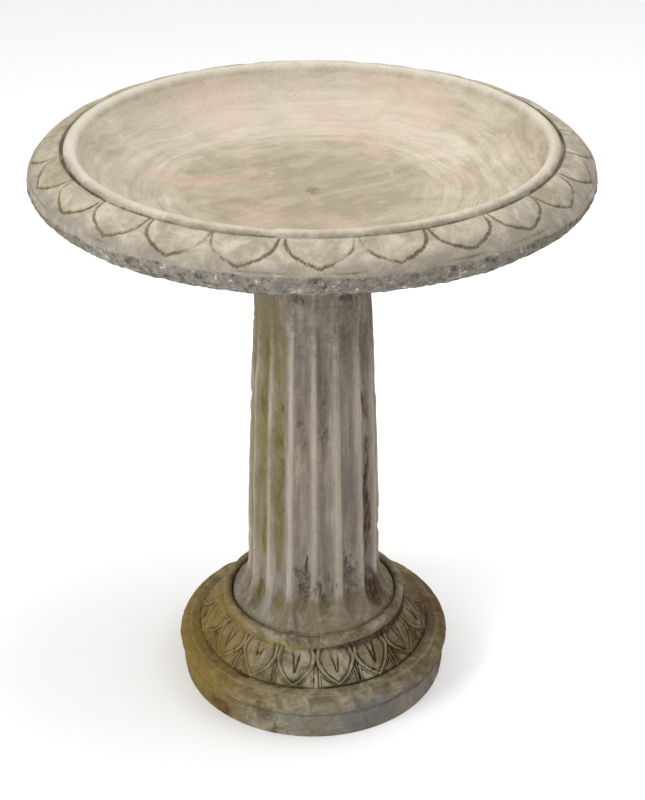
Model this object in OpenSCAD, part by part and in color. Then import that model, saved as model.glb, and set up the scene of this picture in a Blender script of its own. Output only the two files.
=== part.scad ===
// Bird bath: a round bowl on a fluted column, standing on a moulded base.
// Three castings, each with its reinforcement, located on one another by two steel dowels.
// Millimetres, +Z up, origin on the ground at the centre of the base.

/* [Base] */
// Diameter of the base where it meets the ground
base_d = 286; // [240:1:360]
// Height of the plain plinth course
plinth_h = 29; // [20:1:45]
// How far the plinth leans out to its top edge
plinth_lean = 1.5; // [0.5:0.5:4]
// Height of the rounded course above the plinth
torus_h = 20; // [12:1:30]
// How far the rounded course bulges from a straight line between its edges
torus_bulge = 7.5; // [3:0.5:9]
// How far the rounded course's top edge lies inside its bottom edge
torus_step = 7; // [4:0.5:12]
// Step from the foot's radius in to the lower edge of the leaf band
band_inset = 16; // [13:1:24]
// Height of the sloping leaf band
band_h = 32; // [24:1:44]
// Height of the bead that surrounds the column's foot
bead_h = 12.5; // [8:0.5:18]
// Width of the bead
bead_w = 9; // [6:0.5:12]
// Depth of the recess that the column's foot stands in
seat_depth = 13.5; // [8:0.5:20]
// Radial gap between the column's foot and its recess
seat_gap = 0.8; // [0.4:0.1:2]

/* [Leaf band] */
// Number of leaves round the base
leaf_count = 16; // [10:1:24]
// How far a leaf stands off the band
leaf_relief = 2; // [1:0.5:4]
// Share of the leaf pitch that a leaf's width takes
leaf_fill = 0.86; // [0.6:0.02:0.94]
// Width of the cut that sets off a leaf's tongue
tongue_cut_w = 1.8; // [1:0.2:3]

/* [Column] */
// Height of the column casting
shaft_h = 428; // [300:1:600]
// Diameter of the round foot
foot_d = 177; // [160:1:200]
// Height of the foot's upright edge
foot_edge_h = 12; // [8:0.5:18]
// Height of the hollow flare above the foot
foot_flare_h = 34; // [20:1:50]
// Diameter of the shaft above the flare
shaft_low_d = 142; // [120:1:156]
// Diameter of the shaft at its neck
shaft_neck_d = 113; // [98:1:128]
// Height of the hollow flare under the bowl
head_flare_h = 34; // [20:1:50]
// Diameter of the flat head that carries the bowl
head_d = 140; // [132:1:156]
// Height of the head's upright edge
head_edge_h = 8; // [4:1:14]
// Number of flutes
flute_count = 16; // [12:1:20]
// Depth of a flute at the foot of the shaft
flute_depth = 5.5; // [3:0.5:8]
// Width of the ridge between two flutes at the foot of the shaft
ridge_w = 6; // [3:0.5:10]

/* [Bowl] */
// Overall diameter of the bowl
bowl_d = 533; // [440:1:640]
// Overall height of the bowl
bowl_h = 102; // [92:1:130]
// Depth of the dish below the lip
dish_depth = 59; // [40:1:66]
// Diameter of the shallow floor of the dish
dish_flat_d = 330; // [280:1:360]
// Rise of the floor from its centre to its edge
dish_rise = 7; // [3:0.5:12]
// How far the dish's side hollows out from a straight line
dish_hollow = 13; // [6:1:16]
// Width of the rim, from the crest of the lip to the widest line
rim_w = 41; // [32:1:56]
// Height of the rim, from its lower edge to the crest of the lip
rim_h = 45; // [36:1:56]
// How far the rim's lower edge lies inside the widest line
rim_tuck = 12; // [6:1:18]
// How far the underside swells from a straight line
belly = 7; // [3:1:12]
// Width of the round lip
lip_w = 12.5; // [9:0.5:18]
// Width and depth of the groove outside the lip
lip_groove = 3.5; // [2:0.5:6]
// Diameter of the round boss under the bowl
boss_d = 172; // [150:1:200]
// Height of the boss
boss_h = 6; // [3:1:10]

/* [Petals] */
// Number of petals round the rim
petal_count = 25; // [16:1:32]
// Width of the cut that outlines a petal
petal_cut_w = 2.4; // [1.2:0.2:4]
// Depth of the cut
petal_cut_depth = 1.5; // [0.8:0.1:2.5]
// How far the petals' face swells from a straight line
petal_swell = 3.5; // [2:0.5:6]

/* [Dowels] */
// Diameter of the two locating dowels
dowel_d = 20; // [12:1:26]
// Length of the dowel between base and column
lower_dowel_l = 100; // [60:1:112]
// Length of the dowel between column and bowl
upper_dowel_l = 70; // [50:1:110]
// How far the upper dowel reaches into the bowl
bowl_hole_depth = 20; // [12:1:26]
// Radial gap round a dowel, and its gap at the blind end
dowel_gap = 0.5; // [0.2:0.1:1.5]
// Chamfer at the dowels' ends
dowel_chamfer = 2; // [1:0.5:4]

/* [Reinforcement] */
// Thickness of stone between the steel and the nearest face
cover = 18; // [14:1:24]
// Diameter of the wire in the base
base_wire_d = 8; // [5:1:10]
// Diameter of the bars in the column
bar_d = 8; // [6:1:12]
// Distance of the bars from the axis
bar_r = 32; // [26:1:36]
// Number of bars
bar_count = 4; // [3:1:6]
// Diameter of the rings that tie the bars
tie_d = 5; // [4:1:6]
// Number of tie rings
tie_count = 3; // [2:1:5]
// Diameter of the wire in the bowl
bowl_wire_d = 6; // [4:1:8]
// Number of spokes in the bowl
spoke_count = 8; // [4:1:12]
// How far a spoke sags below a straight line
spoke_sag = 12; // [8:1:15]
// Gap between a tied wire and its neighbour
steel_gap = 0.4; // [0.2:0.1:0.8]

/* [Finish] */
// Bevel along plain edges of the castings
bevel = 1.5; // [0.5:0.5:2.5]

/* [Hidden] */
$fn = 96;

stone = "tan";
steel = "slategray";

// Where each pattern starts, counted in degrees round from +X
leaf_phase = -100;
flute_phase = -76.5;
petal_phase = -88.5;
bar_phase = 45;

// Levels of the three castings
band_z = plinth_h + torus_h;
bead_z = band_z + band_h;
seat_z = bead_z + bead_h - seat_depth;
bowl_z = seat_z + shaft_h;

// ---- helpers ----

// A circular arc from p to q, standing off its chord by s to the left of the way from p to q.
// The last point is left out, because the next stretch begins with it.
function arc(p, q, s, n) =
    let (d = q - p,
         side = s < 0 ? -1 : 1,
         r = (d * d / 4 + s * s) / (2 * abs(s)),
         left = [-d.y, d.x] / norm(d),
         c = (p + q) / 2 + left * (s - side * r),
         start = atan2(p.y - c.y, p.x - c.x),
         sweep = 2 * asin(norm(d) / 2 / r))
    [for (i = [0 : n - 1])
        let (a = start - side * sweep * i / n)
        c + r * [cos(a), sin(a)]];

// Part of a circle of radius r about c, from angle a to angle b
function turn(c, r, a, b, step) = [for (t = [a : step : b]) c + r * [cos(t), sin(t)]];

// Repeats its children round the axis
module around(count, phase = 0) {
    for (k = [0 : count - 1]) rotate([0, 0, phase + k * 360 / count]) children();
}

// Puts its children on the slope from p down to q: x runs down the slope, y across it, z out of it
module on_slope(p, q) {
    translate([p.x, 0, p.y]) rotate([0, atan2(p.y - q.y, q.x - p.x), 0]) children();
}

module hoop(r, z, d) {
    color(steel) translate([0, 0, z]) rotate_extrude() translate([r, 0]) circle(d = d);
}

module dowel(l) {
    r = dowel_d / 2;
    color(steel) rotate_extrude()
        polygon([[0, 0], [r - dowel_chamfer, 0], [r, dowel_chamfer],
                 [r, l - dowel_chamfer], [r - dowel_chamfer, l], [0, l]]);
}

// A blind hole for a dowel: the mouth is at z = 0 and the hole runs down
module dowel_hole(depth) {
    translate([0, 0, -depth - dowel_gap]) cylinder(d = dowel_d + 2 * dowel_gap, h = depth + dowel_gap + 1);
}

// ---- base ----

base_r = base_d / 2;
plinth_r = base_r + plinth_lean;
seat_r = foot_d / 2 + seat_gap;
bead_r = seat_r + bead_w;
band_low = [base_r - band_inset, band_z];
band_top = [bead_r, bead_z];
band_l = norm(band_low - band_top);
lower_hole_depth = lower_dowel_l / 2;

function base_outline() = concat(
    [[0, 0], [base_r, 0], [plinth_r, plinth_h - bevel], [plinth_r - bevel, plinth_h]],
    arc([plinth_r - bevel, plinth_h], [base_r - torus_step, band_z], -torus_bulge, 8),
    [[base_r - torus_step, band_z], band_low, band_top],
    turn([bead_r - bead_w / 2, bead_z + bead_h - bead_w / 2], bead_w / 2, 0, 180, 20),
    [[seat_r, seat_z], [0, seat_z]]
);

// A leaf seen square to the band: x runs from the bead to the leaf's tip, y across it
leaf_wide_x = band_l / 4;
leaf_l = band_l - leaf_wide_x - leaf_relief;
leaf_half_w = leaf_fill * PI * (bead_r + leaf_wide_x) / leaf_count;
tongue_half_w = leaf_half_w / 3;
tongue_l = band_l * 0.6;

module leaf_outline() {
    r = (leaf_l * leaf_l + leaf_half_w * leaf_half_w) / (2 * leaf_half_w);
    difference() {
        intersection() {
            translate([leaf_wide_x, r - leaf_half_w]) circle(r = r);
            translate([leaf_wide_x, leaf_half_w - r]) circle(r = r);
        }
        for (side = [-1, 1]) scale([1, side])
            polygon([[leaf_relief, tongue_half_w], [leaf_relief, tongue_half_w + tongue_cut_w],
                     [tongue_l, tongue_cut_w], [tongue_l, -tongue_cut_w / 4]]);
    }
}

// The small pointed dart between two leaves
module dart_outline() {
    mid = band_l * 0.77;
    polygon([[mid - tongue_half_w, 0], [mid, tongue_half_w / 2],
             [mid + tongue_half_w, 0], [mid, -tongue_half_w / 2]]);
}

// The leaves as prisms, cut to a shell that follows the slope and starts inside the bead
module leaf_band() {
    down = (band_low - band_top) / band_l * leaf_relief;
    out = [-down.y, down.x];
    intersection() {
        rotate_extrude()
            polygon([band_top - down - out, band_low + down - out, band_low + down + out, band_top - down + out]);
        for (k = [0 : leaf_count - 1]) rotate([0, 0, leaf_phase + k * 360 / leaf_count]) {
            on_slope(band_top, band_low)
                translate([0, 0, -leaf_relief]) linear_extrude(3 * leaf_relief) leaf_outline();
            rotate([0, 0, 180 / leaf_count]) on_slope(band_top, band_low)
                translate([0, 0, -leaf_relief]) linear_extrude(3 * leaf_relief) dart_outline();
        }
    }
}

module base_hoop() {
    hoop(base_r - cover - base_wire_d / 2, cover + base_wire_d / 2, base_wire_d);
}

module base() {
    color(stone) difference() {
        union() {
            rotate_extrude() polygon(base_outline());
            leaf_band();
        }
        translate([0, 0, seat_z]) dowel_hole(lower_hole_depth);
        base_hoop();
    }
}

module lower_dowel() {
    translate([0, 0, seat_z - lower_hole_depth]) dowel(lower_dowel_l);
}

// ---- column ----

foot_r = foot_d / 2;
low_r = shaft_low_d / 2;
neck_r = shaft_neck_d / 2;
head_r = head_d / 2;
low_z = foot_edge_h + foot_flare_h;
neck_z = shaft_h - head_edge_h - head_flare_h;
neck_share = neck_r / low_r;
upper_hole_depth = upper_dowel_l - bowl_hole_depth;

function shaft_outline() = concat(
    [[0, 0], [foot_r, 0], [foot_r, foot_edge_h - bevel], [foot_r - bevel, foot_edge_h]],
    arc([foot_r - 2 * bevel, foot_edge_h], [low_r, low_z], foot_flare_h / 8, 8),
    [[low_r, low_z], [neck_r, neck_z]],
    arc([neck_r, neck_z], [head_r, shaft_h - head_edge_h], head_flare_h / 8, 6),
    [[head_r, shaft_h - head_edge_h], [head_r, shaft_h], [0, shaft_h]]
);

// Radius of a round cutter that leaves the ridges between two cuts on a shaft of radius r.
// Width and depth shrink with the shaft by the share given.
function flute_r(r, share) =
    let (half_w = PI * r / flute_count - ridge_w * share / 2, depth = flute_depth * share)
    (half_w * half_w + depth * depth) / (2 * depth);

// The flutes narrow with the shaft, so each is cut by a long cone with round ends
module flute() {
    low_cut_r = flute_r(low_r, 1);
    top_cut_r = flute_r(neck_r, neck_share);
    low = [low_r - flute_depth + low_cut_r, low_z - flute_depth];
    top = [neck_r - flute_depth * neck_share + top_cut_r, neck_z - top_cut_r];
    lean = atan2(low.x - top.x, top.y - low.y);
    translate([low.x, 0, low.y]) rotate([0, -lean, 0])
        rotate_extrude() polygon(concat(
            turn([0, 0], low_cut_r, -90, 0, 15),
            turn([0, norm(top - low)], top_cut_r, 0, 90, 15)
        ));
}

module shaft_bars() {
    color(steel) translate([0, 0, seat_z + cover]) around(bar_count, bar_phase)
        translate([bar_r, 0, 0]) cylinder(d = bar_d, h = shaft_h - 2 * cover);
}

module shaft_ties() {
    step = (neck_z - low_z) / (tie_count - 1);
    for (i = [0 : tie_count - 1])
        hoop(bar_r + bar_d / 2 + steel_gap + tie_d / 2, seat_z + low_z + i * step, tie_d);
}

module shaft() {
    color(stone) difference() {
        translate([0, 0, seat_z]) difference() {
            rotate_extrude() polygon(shaft_outline());
            around(flute_count, flute_phase) flute();
        }
        translate([0, 0, seat_z]) mirror([0, 0, 1]) dowel_hole(lower_dowel_l - lower_hole_depth);
        translate([0, 0, bowl_z]) dowel_hole(upper_hole_depth);
        shaft_bars();
        shaft_ties();
    }
}

module upper_dowel() {
    translate([0, 0, bowl_z - upper_hole_depth]) dowel(upper_dowel_l);
}

// ---- bowl ----

bowl_r = bowl_d / 2;
boss_r = boss_d / 2;
lip_r = bowl_r - rim_w;
lip_half = lip_w / 2;
lip_out_r = lip_r + lip_half;
dish_z = bowl_h - dish_depth;
floor_edge = [dish_flat_d / 2, dish_z + dish_rise];
floor_middle = [dish_flat_d / 12, dish_z];
rim_low_z = bowl_h - rim_h;
rim_low = [bowl_r - rim_tuck, rim_low_z];
petal_top = [lip_out_r + lip_groove, bowl_h - lip_groove];
petal_low = [bowl_r - bevel, rim_low_z + rim_h / 2];

function bowl_outline() = concat(
    [[0, 0], [boss_r, 0], [boss_r, boss_h]],
    arc([boss_r + boss_h / 2, boss_h], rim_low, -belly, 10),
    arc(rim_low, [bowl_r, rim_low_z + rim_h / 3], -rim_tuck / 4, 5),
    [[bowl_r, rim_low_z + rim_h / 3]],
    arc(petal_low, petal_top, -petal_swell, 6),
    [petal_top, petal_top - [0, lip_groove], [lip_out_r, petal_top.y - lip_groove]],
    turn([lip_r, bowl_h - lip_half], lip_half, 0, 180, 15),
    arc([lip_r - lip_half - bevel / 2, bowl_h - lip_half - bevel], floor_edge, dish_hollow, 12),
    arc(floor_edge, floor_middle, dish_rise / 4, 6),
    [floor_middle, [0, dish_z]]
);

// Half the width of a petal at each share of its length, from the lip to the tip
petal_l = norm(petal_low - petal_top) * 0.86;
petal_half_w = PI * petal_top.x / petal_count - petal_cut_w / 4;
petal_form = [[-0.08, 1], [0.3, 0.93], [0.58, 0.66], [0.8, 0.32], [1, 0]];

module petal_outline(inset) {
    l = petal_l - inset;
    w = petal_half_w - inset;
    half = [for (p = petal_form) [p[0] * l, p[1] * w]];
    polygon(concat(half, [for (i = [len(half) - 2 : -1 : 0]) [half[i].x, -half[i].y]]));
}

// The cuts that outline the petals, to an even depth below the swelling face of the rim
module petal_cuts() {
    face = petal_low - petal_top;
    out = [-face.y, face.x] / norm(face);
    sink = out * petal_cut_depth;
    proud = out * (petal_swell + 1);
    intersection() {
        rotate_extrude() polygon(concat(
            arc(petal_low - sink, petal_top - sink, -petal_swell, 6),
            [petal_top - sink, petal_top + proud, petal_low + proud]
        ));
        around(petal_count, petal_phase) on_slope(petal_top, petal_low)
            translate([0, 0, -2 * petal_swell]) linear_extrude(4 * petal_swell)
                difference() {
                    petal_outline(0);
                    petal_outline(petal_cut_w);
                }
    }
}

rim_hoop_r = bowl_r - rim_w / 2;
rim_hoop_z = bowl_z + rim_low_z + cover;
floor_hoop_r = boss_r + cover;
floor_hoop_z = bowl_z + (dish_z + boss_h) / 2;

module bowl_rim_hoop() {
    hoop(rim_hoop_r, rim_hoop_z, bowl_wire_d);
}

module bowl_floor_hoop() {
    hoop(floor_hoop_r, floor_hoop_z, bowl_wire_d);
}

// The spokes rise from the floor hoop to the rim hoop in an even curve that follows the dish
module bowl_spokes() {
    low = [floor_hoop_r, floor_hoop_z];
    high = [rim_hoop_r, rim_hoop_z];
    rise = high - low;
    slope = atan2(rise.y, rise.x);
    half = 2 * atan(2 * spoke_sag / norm(rise));
    clear = bowl_wire_d / 2 + steel_gap;
    p = low + clear * [cos(slope - half), sin(slope - half)];
    q = high - clear * [cos(slope + half), sin(slope + half)];
    chord = q - p;
    r = (chord * chord / 4 + spoke_sag * spoke_sag) / (2 * spoke_sag);
    c = (p + q) / 2 + [-chord.y, chord.x] / norm(chord) * (r - spoke_sag);
    color(steel) around(spoke_count)
        translate([c.x, 0, c.y]) rotate([90, 0, 0]) rotate([0, 0, atan2(p.y - c.y, p.x - c.x)])
            rotate_extrude(angle = 2 * asin(norm(chord) / 2 / r))
                translate([r, 0]) circle(d = bowl_wire_d);
}

module bowl() {
    color(stone) difference() {
        translate([0, 0, bowl_z]) difference() {
            rotate_extrude() polygon(bowl_outline());
            petal_cuts();
            mirror([0, 0, 1]) dowel_hole(bowl_hole_depth);
        }
        bowl_rim_hoop();
        bowl_floor_hoop();
        bowl_spokes();
    }
}

base();
base_hoop();
lower_dowel();
shaft();
shaft_bars();
shaft_ties();
upper_dowel();
bowl();
bowl_rim_hoop();
bowl_floor_hoop();
bowl_spokes();
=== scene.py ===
import bpy
import itertools
import math
import numpy as np
from mathutils import Matrix, Vector


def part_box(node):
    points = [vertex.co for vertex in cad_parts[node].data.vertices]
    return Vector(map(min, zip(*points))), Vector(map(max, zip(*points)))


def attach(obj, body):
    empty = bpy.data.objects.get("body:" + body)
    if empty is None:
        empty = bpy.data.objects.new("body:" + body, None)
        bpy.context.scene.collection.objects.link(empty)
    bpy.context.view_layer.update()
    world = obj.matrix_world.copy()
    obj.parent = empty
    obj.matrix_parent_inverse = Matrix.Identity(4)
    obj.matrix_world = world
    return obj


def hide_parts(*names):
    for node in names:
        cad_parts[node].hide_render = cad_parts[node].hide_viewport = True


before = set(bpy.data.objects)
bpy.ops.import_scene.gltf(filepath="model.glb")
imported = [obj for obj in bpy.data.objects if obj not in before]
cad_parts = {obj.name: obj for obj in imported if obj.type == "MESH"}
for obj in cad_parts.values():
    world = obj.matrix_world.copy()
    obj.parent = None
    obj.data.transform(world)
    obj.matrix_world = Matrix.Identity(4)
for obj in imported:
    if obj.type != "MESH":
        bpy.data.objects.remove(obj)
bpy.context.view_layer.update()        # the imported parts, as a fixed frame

print("frame loaded")


# shared helpers: noise, outlines and castings

placeFactors = (73856093, 19349663, 83492791)       # large odd numbers, which scatter what they multiply
seedFactor, mixFactor = 2654435761, 1274126177


def lumps(points, size, seed):
    # smooth random lumps between -1 and 1, about size metres across
    cell = points / size
    low = np.floor(cell).astype(np.int64)
    part = cell - low
    part = part * part * (3 - 2 * part)
    total = np.zeros(len(points))
    for corner in itertools.product((0, 1), repeat=3):
        mixed = seed * seedFactor
        for place, factor in zip((low + corner).T, placeFactors):
            mixed = mixed ^ (place * factor)
        mixed = ((mixed ^ (mixed >> 13)) * mixFactor) & 0xffffffff
        value = ((mixed ^ (mixed >> 16)) & 0xffff) / 32767.5 - 1
        weight = np.ones(len(points))
        for axis in range(3):
            weight = weight * (part[:, axis] if corner[axis] else 1 - part[:, axis])
        total += value * weight
    return total


def layered(points, layers):
    # lumps of several sizes on each other; a layer is its height, the size of its lumps and a seed
    return sum(rise * lumps(points, size, seed) for rise, size, seed in layers)


def roughness(points, size, seed, layers=3):
    # lumps with finer lumps on them
    return sum(lumps(points, size / 2 ** i, seed + i) / 2 ** i for i in range(layers))


def unit(value):
    # held between 0 and 1
    return np.clip(value, 0, 1)


def ease(value, low, high):
    # 0 below low, 1 above high, smooth between; low may be the larger
    share = unit((value - low) / (high - low))
    return share * share * (3 - 2 * share)


def around(angle, radius, height):
    # points in space from their places on a casting
    return np.stack([radius * np.cos(angle), radius * np.sin(angle), height], 1)


def bell(value, middle, reach):
    # 1 in the middle, and smoothly less on both sides
    return np.exp(-((value - middle) / reach) ** 2)


def patches(angle, height, rows):
    # soft patches on the side of a casting; a row is the strength, the turn in degrees and the height
    # of the middle, and the reach round and up
    total = 0
    for strength, turn, middle, reachRound, reachUp in rows:
        away = (np.degrees(angle) - turn + 180) % 360 - 180
        total = total + strength * np.exp(-(away / reachRound) ** 2 - ((height - middle) / reachUp) ** 2)
    return total


def profile(value, pairs):
    # a curve through a few pairs of a place and a height
    return np.interp(value, *zip(*pairs))


def arc(start, end, stand, count=24):
    # a circular arc that stands off its chord, to the left of the way from start to end
    start, end = np.array(start, float), np.array(end, float)
    chord = end - start
    length = np.hypot(*chord)
    side = -1 if stand < 0 else 1
    radius = (length ** 2 / 4 + stand ** 2) / (2 * abs(stand))
    left = np.array([-chord[1], chord[0]]) / length
    centre = (start + end) / 2 + left * (stand - side * radius)
    first = math.atan2(*(start - centre)[::-1])
    sweep = 2 * math.asin(min(1, length / 2 / radius))
    turns = first - side * sweep * np.arange(count + 1) / count
    return [centre + radius * np.array([math.cos(a), math.sin(a)]) for a in turns]


class Outline:
    # the half section of a casting, in named stretches from its lower pole to its upper one
    def __init__(self, stretches, worn, melt=None):
        step = 0.00025
        corners, self.start = [], {}
        for name, points in stretches:
            self.start[name] = len(corners)
            corners += [np.array(p, float) for p in points]
        corners = np.array(corners)
        gone = np.concatenate([[0], np.cumsum(np.hypot(*np.diff(corners, axis=0).T))])
        self.start = {name: gone[i] for name, i in self.start.items()}
        self.names = list(self.start)
        self.length = gone[-1]
        self.along = np.linspace(0, self.length, int(self.length / step))
        line = np.array([np.interp(self.along, gone, corners[:, k]) for k in (0, 1)])
        smooth = self.softened(line, worn / step)
        if melt:       # one corner that is worn much rounder than the rest
            share = np.exp(-((self.along - self.start[melt[0]]) / melt[1]) ** 2)
            smooth = smooth * (1 - share) + self.softened(line, melt[2] / step) * share
        self.radius, self.height = smooth
        lean = np.hypot(np.gradient(self.radius), np.gradient(self.height))
        self.outward = np.gradient(self.height) / lean
        self.upward = -np.gradient(self.radius) / lean

    def softened(self, line, width):
        # rounded corners; mirrored at the ends, so that the poles stay in place
        reach = int(4 * width)
        kernel = np.exp(-0.5 * (np.arange(-reach, reach + 1) / width) ** 2)
        kernel /= kernel.sum()
        done = []
        for row in line:
            before, after = 2 * row[0] - row[reach:0:-1], 2 * row[-1] - row[-2:-reach - 2:-1]
            done.append(np.convolve(np.concatenate([before, row, after]), kernel, "valid"))
        return np.array(done)

    def span(self, name):
        at = self.names.index(name)
        end = self.start[self.names[at + 1]] if at + 1 < len(self.names) else self.length
        return self.start[name], end

    def at(self, along, what):
        return np.interp(along, self.along, what)

    def rows(self, name, spacing, columns):
        low, high = self.span(name)
        count = max(1, round((high - low) / spacing))
        return [(low + (high - low) * i / count, columns) for i in range(count)]

    def rings(self, table):
        return {name: self.rows(name, spacing, columns) for name, (spacing, columns) in table.items()}


def recount(rows, columns):
    # the same rings with another number of points on each
    return [(place, columns) for place, old in rows]


def stitch(lower, upper):
    # faces between two rings of points; one ring may have twice the points of the other
    faces = []
    n, m = len(lower), len(upper)
    for i in range(min(n, m)):
        j = (i + 1) % min(n, m)
        if n == m:
            faces.append((lower[i], lower[j], upper[j], upper[i]))
        elif n > m:
            mid, end = lower[2 * i + 1], lower[(2 * i + 2) % n]
            faces += [(lower[2 * i], mid, upper[i]), (mid, upper[j], upper[i]), (mid, end, upper[j])]
        else:
            mid, end = upper[2 * i + 1], upper[(2 * i + 2) % m]
            faces += [(lower[i], mid, upper[2 * i]), (lower[i], lower[j], mid), (lower[j], end, mid)]
    return faces


def castPiece(name, body, outline, rows, relief, stainsAndShading):
    # a casting from rings of points: relief gives the height of its surface; the last function gives the
    # marks for its colours, stains as well as painted light and shade
    rings, points, tints = [], [], {}
    for place, columns in rows:
        angle = 2 * math.pi * np.arange(columns) / columns
        along = place(angle) if callable(place) else np.full(columns, place)
        radius, height = outline.at(along, outline.radius), outline.at(along, outline.height)
        flat = around(angle, radius, height)
        rise, carved = relief(along, angle, radius, height, flat)
        radius = radius + rise * outline.at(along, outline.outward)
        height = height + rise * outline.at(along, outline.upward)
        rings.append(np.arange(columns) + sum(len(r) for r in rings))
        points.append(around(angle, radius, height))
        marks = stainsAndShading(along, angle, radius, height, carved)
        for key, value in marks.items():
            tints.setdefault(key, []).append(value * np.ones(columns))
    count = sum(len(r) for r in rings)
    poles = [[0, 0, outline.height[0]], [0, 0, outline.height[-1]]]
    faces = []
    for lower, upper in zip(rings, rings[1:]):
        faces += stitch(lower.tolist(), upper.tolist())
    first, last = rings[0].tolist(), rings[-1].tolist()
    faces += [(count, b, a) for a, b in zip(first, first[1:] + first[:1])]
    faces += [(count + 1, a, b) for a, b in zip(last, last[1:] + last[:1])]
    mesh = bpy.data.meshes.new(name)
    mesh.from_pydata(np.concatenate(points + [poles]).tolist(), [], faces)
    mesh.update()
    mesh.shade_smooth()
    for key, value in tints.items():
        layer = mesh.attributes.new(key, "FLOAT", "POINT")
        ends = [value[0].mean(), value[-1].mean()]
        layer.data.foreach_set("value", np.concatenate(value + [ends]).astype(np.float32))
    piece = bpy.data.objects.new(name, mesh)
    bpy.context.scene.collection.objects.link(piece)
    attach(piece, body)
    print(name, "has", len(faces), "faces")
    return piece


# materials

lampLevel = 0.78        # how bright the lamps make a white surface


def tone(red, green, blue):
    # a colour as it looks under the lamps, 0 to 255, as the shader's own numbers
    plain = [((v / 255 + 0.055) / 1.055) ** 2.4 for v in (red, green, blue)]
    return tuple(v * lampLevel for v in plain) + (1,)


def grey(level):
    return (level, level, level, 1)


class Wire:
    # a socket on its way through a material; arithmetic on it adds Math nodes
    def __init__(self, paint, socket):
        self.paint = paint
        self.socket = socket

    def maths(self, operation, first, second):
        return self.paint.node("ShaderNodeMath", {"operation": operation}, {0: first, 1: second})

    def __add__(self, other):
        return self.maths("ADD", self, other)

    def __radd__(self, other):
        return self.maths("ADD", other, self)

    def __sub__(self, other):
        return self.maths("SUBTRACT", self, other)

    def __rsub__(self, other):
        return self.maths("SUBTRACT", other, self)

    def __mul__(self, other):
        return self.maths("MULTIPLY", self, other)

    def __rmul__(self, other):
        return self.maths("MULTIPLY", other, self)


class Paint:
    # one material and the nodes in it
    def __init__(self, name):
        self.material = bpy.data.materials.new(name)
        self.material.use_nodes = True
        self.tree = self.material.node_tree
        self.tree.nodes.clear()
        self.place = self.node("ShaderNodeTexCoord", out="Object")

    def node(self, kind, settings=None, sockets=None, out=0):
        made = self.tree.nodes.new(kind)
        for key, value in (settings or {}).items():
            if key == "stops":
                while len(made.color_ramp.elements) < len(value):
                    made.color_ramp.elements.new(0.5)
                for element, (position, colour) in zip(made.color_ramp.elements, value):
                    element.position = position
                    element.color = colour
            else:
                setattr(made, key, value)
        for key, value in (sockets or {}).items():
            if isinstance(value, Wire):
                self.tree.links.new(value.socket, made.inputs[key])
            else:
                made.inputs[key].default_value = value
        return Wire(self, made.outputs[out])

    def mark(self, name):
        # a number that the mesh carries at each point
        return self.node("ShaderNodeAttribute", {"attribute_name": name}, out="Fac")

    def vector(self, operation, sockets, out=0):
        return self.node("ShaderNodeVectorMath", {"operation": operation}, sockets, out)

    def stretched(self, x, y, z):
        return self.vector("MULTIPLY", {0: self.place, 1: (x, y, z)})

    def noise(self, scale, detail=4, rough=0.55, bend=0, where=None):
        sockets = {"Vector": where or self.place, "Scale": scale, "Detail": detail,
                   "Roughness": rough, "Distortion": bend}
        return self.node("ShaderNodeTexNoise", {}, sockets)

    def step(self, value, low, high):
        sockets = {"Value": value, "From Min": low, "From Max": high}
        return self.node("ShaderNodeMapRange", {"interpolation_type": "SMOOTHSTEP"}, sockets)

    def ramp(self, value, stops):
        return self.node("ShaderNodeValToRGB", {"stops": stops}, {0: value})

    def mix(self, share, first, second, way="MIX"):
        settings = {"data_type": "RGBA", "blend_type": way, "clamp_factor": True}
        return self.node("ShaderNodeMix", settings, {0: share, 6: first, 7: second}, 2)

    def bump(self, height, strength, distance, below=None):
        sockets = {"Strength": strength, "Distance": distance, "Height": height}
        if below:
            sockets["Normal"] = below
        return self.node("ShaderNodeBump", {}, sockets)

    def finish(self, sockets):
        shader = self.node("ShaderNodeBsdfPrincipled", {}, sockets)
        end = self.tree.nodes.new("ShaderNodeOutputMaterial")
        self.tree.links.new(shader.socket, end.inputs["Surface"])
        return self.material


def stoneGround(paint, tones, size):
    # the bare casting: three tones in patches, under grains of sand
    cloud = paint.noise(size, 6, 0.62, 0.4)
    colour = paint.ramp(cloud, [(0.3, tones[0]), (0.5, tones[1]), (0.7, tones[2])])
    grain = paint.ramp(paint.noise(420, 4, 0.75), [(0.3, grey(0.2)), (0.7, grey(0.92))])
    return paint.mix(0.26, colour, grain, "OVERLAY")


def wornTones(paint, under, cloud, share, stops):
    # wear in three tones over the ground; a stop is its place and its colour
    return paint.mix(share, under, paint.ramp(cloud, [(place, tone(*colour)) for place, colour in stops]))


def film(paint, under, colour, cloud, low, high, share):
    # a thin colour where the cloud is dense, from low to high
    return paint.mix(paint.step(cloud, low, high) * share, under, colour)


def growth(paint, colour, mark, under, scale, strength=1.0, spread=1.1, where=None):
    # a stain, a growth or painted shade that follows a mark on the mesh; spread breaks it up into specks
    ragged = paint.noise(scale, 6, 0.7, 0.3, where) - 0.5
    thin = paint.step(paint.noise(scale * 3.3, 4, 0.65, 0, where), 0.32, 0.6) * 0.5 + 0.5
    amount = paint.step(paint.mark(mark) + ragged * spread, 0.25, 0.85) * thin * strength
    return paint.mix(amount, under, colour)


def stoneFinish(paint, colour, coarse, fine):
    # roughness and the bump of sand and small pits
    sand = paint.noise(900, 2, 0.6)
    pits = paint.step(paint.noise(260, 2, 0.6), 0.36, 0.46)
    swell = paint.noise(70, 5, 0.65)
    normal = paint.bump(swell, coarse, 0.004)
    normal = paint.bump(pits, fine, 0.0008, normal)
    normal = paint.bump(sand, fine, 0.0006, normal)
    dull = paint.noise(40, 4, 0.6) * 0.18 + 0.78
    return paint.finish({"Base Color": colour, "Roughness": dull, "Normal": normal,
                         "Specular IOR Level": 0.25})


print("helpers ready")


# the bowl

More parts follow.
